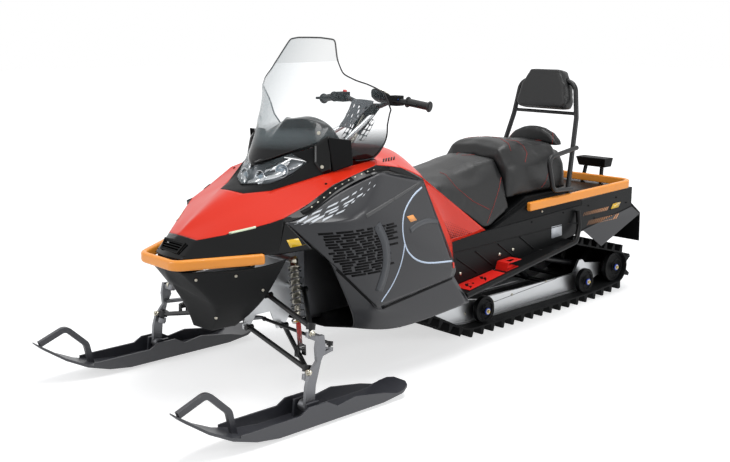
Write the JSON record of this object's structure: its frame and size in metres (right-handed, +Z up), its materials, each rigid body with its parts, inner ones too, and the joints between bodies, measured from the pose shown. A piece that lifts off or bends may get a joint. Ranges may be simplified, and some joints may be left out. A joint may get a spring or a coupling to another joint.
{
  "type": "snowmobile",
  "caption": "Two-up utility snowmobile with a track, steered skis, a tall clear windshield, a two-piece seat with a back rest and a rear cargo deck.",
  "frame": {"origin": "on the floor, below the middle of the machine", "axes": "+X forward, +Y to the rider's left, +Z up"},
  "size_m": [3.27, 1.21, 1.442],
  "materials": {
    "hood_red": "gloss",
    "panel_grey": "satin",
    "pan_grey": "textured",
    "gloss_black": "gloss",
    "black_plastic": "matte",
    "ski_plastic": "satin",
    "orange_bar": "satin",
    "tunnel_black": "satin",
    "plate_red": "satin",
    "frame_black": "satin",
    "rail_alloy": "brushed",
    "cast_alloy": "cast",
    "zinc_steel": "plated",
    "seat_vinyl": "grained",
    "track_rubber": "matte",
    "grip_rubber": "matte",
    "engine_iron": "cast",
    "clear_shield": "clear",
    "lamp_red": "tinted"
  },
  "bodies": {
    "chassis": {"tunnel": "tunnel_black", "running_boards": "tunnel_black", "foot_plates": "plate_red", "seat_base": "black_plastic", "cargo_deck": "tunnel_black", "rear_bumper": "orange_bar", "rear_fenders": "panel_grey", "snow_flap": "black_plastic", "tail_lamp_pod": "black_plastic", "tail_lamp_lens": "lamp_red", "tow_hitch": "frame_black", "rider_seat": "seat_vinyl", "passenger_seat": "seat_vinyl", "seat_bolster": "seat_vinyl", "back_pad": "seat_vinyl", "backrest_frame": "frame_black", "grab_handles": "frame_black", "hood": "hood_red", "console": "hood_red", "seat_trim": "hood_red", "side_vents": "gloss_black", "side_panel_left": "panel_grey", "side_panel_right": "panel_grey", "side_skirts": "pan_grey", "nose_cowl": "gloss_black", "belly_pan": "pan_grey", "engine_tray": "pan_grey", "windshield": "clear_shield", "windshield_mounts": "gloss_black", "front_bumper": "orange_bar", "front_subframe": "cast_alloy", "front_arms": "frame_black", "front_shocks": "zinc_steel", "headlamp_lens": "clear_shield", "headlamp_housing": "black_plastic", "instrument_cover": "gloss_black", "nose_grille": "black_plastic", "steering_bearing": "black_plastic", "track": "track_rubber", "skid_wheels": "black_plastic", "skid_rails": "rail_alloy", "skid_arms": "frame_black", "drive_axle": "zinc_steel", "engine": "engine_iron"},
    "steering": {"steering_column": "zinc_steel", "riser_bracket": "frame_black", "handlebar": "grip_rubber", "gauge_pod": "black_plastic", "hand_controls": "black_plastic"},
    "spindle_left": {"spindle_left": "cast_alloy"},
    "spindle_right": {"spindle_right": "cast_alloy"},
    "ski_left": {"ski_left": "ski_plastic"},
    "ski_right": {"ski_right": "ski_plastic"},
    "tie_rod_left": {"tie_rod_left": "frame_black"},
    "tie_rod_right": {"tie_rod_right": "frame_black"},
    "bellcrank": {"bellcrank": "cast_alloy"}
  },
  "joints": [
    {"name": "steering", "type": "hinge", "parent": "chassis", "child": "steering", "pos_m": [0.212, 0, 1.128], "axis": [-0.6416, 0, 0.767], "range_deg": [-32, 32]},
    {"name": "kingpin_left", "type": "hinge", "parent": "chassis", "child": "spindle_left", "pos_m": [1.026, 0.512, 0.189], "axis": [-0.263, -0.1566, 0.952], "range_deg": [-32, 32]},
    {"name": "kingpin_right", "type": "hinge", "parent": "chassis", "child": "spindle_right", "pos_m": [1.026, -0.512, 0.189], "axis": [-0.263, 0.1566, 0.952], "range_deg": [-32, 32]},
    {"name": "crank_turn", "type": "hinge", "parent": "chassis", "child": "bellcrank", "pos_m": [1.00583, 0, 0.285], "axis": [0, 0, 1], "range_deg": [-32, 32]},
    {"name": "rod_swing_left", "type": "hinge", "parent": "spindle_left", "child": "tie_rod_left", "pos_m": [0.89983, 0.49999, 0.262], "axis": [-0.263, -0.1566, 0.952], "range_deg": [-32, 32]},
    {"name": "rod_swing_right", "type": "hinge", "parent": "spindle_right", "child": "tie_rod_right", "pos_m": [0.89983, -0.49999, 0.262], "axis": [-0.263, 0.1566, 0.952], "range_deg": [-32, 32]},
    {"name": "ski_pitch_left", "type": "hinge", "parent": "spindle_left", "child": "ski_left", "pos_m": [1.045, 0.53, 0.068], "axis": [0, 1, 0], "range_deg": [-15, 15]},
    {"name": "ski_pitch_right", "type": "hinge", "parent": "spindle_right", "child": "ski_right", "pos_m": [1.045, -0.53, 0.068], "axis": [0, 1, 0], "range_deg": [-15, 15]}
  ],
  "couplings": [
    {"joint": "kingpin_left", "follows": "steering", "ratio": 1},
    {"joint": "kingpin_right", "follows": "steering", "ratio": 1},
    {"joint": "crank_turn", "follows": "steering", "ratio": 1},
    {"joint": "rod_swing_left", "follows": "steering", "ratio": -1},
    {"joint": "rod_swing_right", "follows": "steering", "ratio": -1}
  ]
}
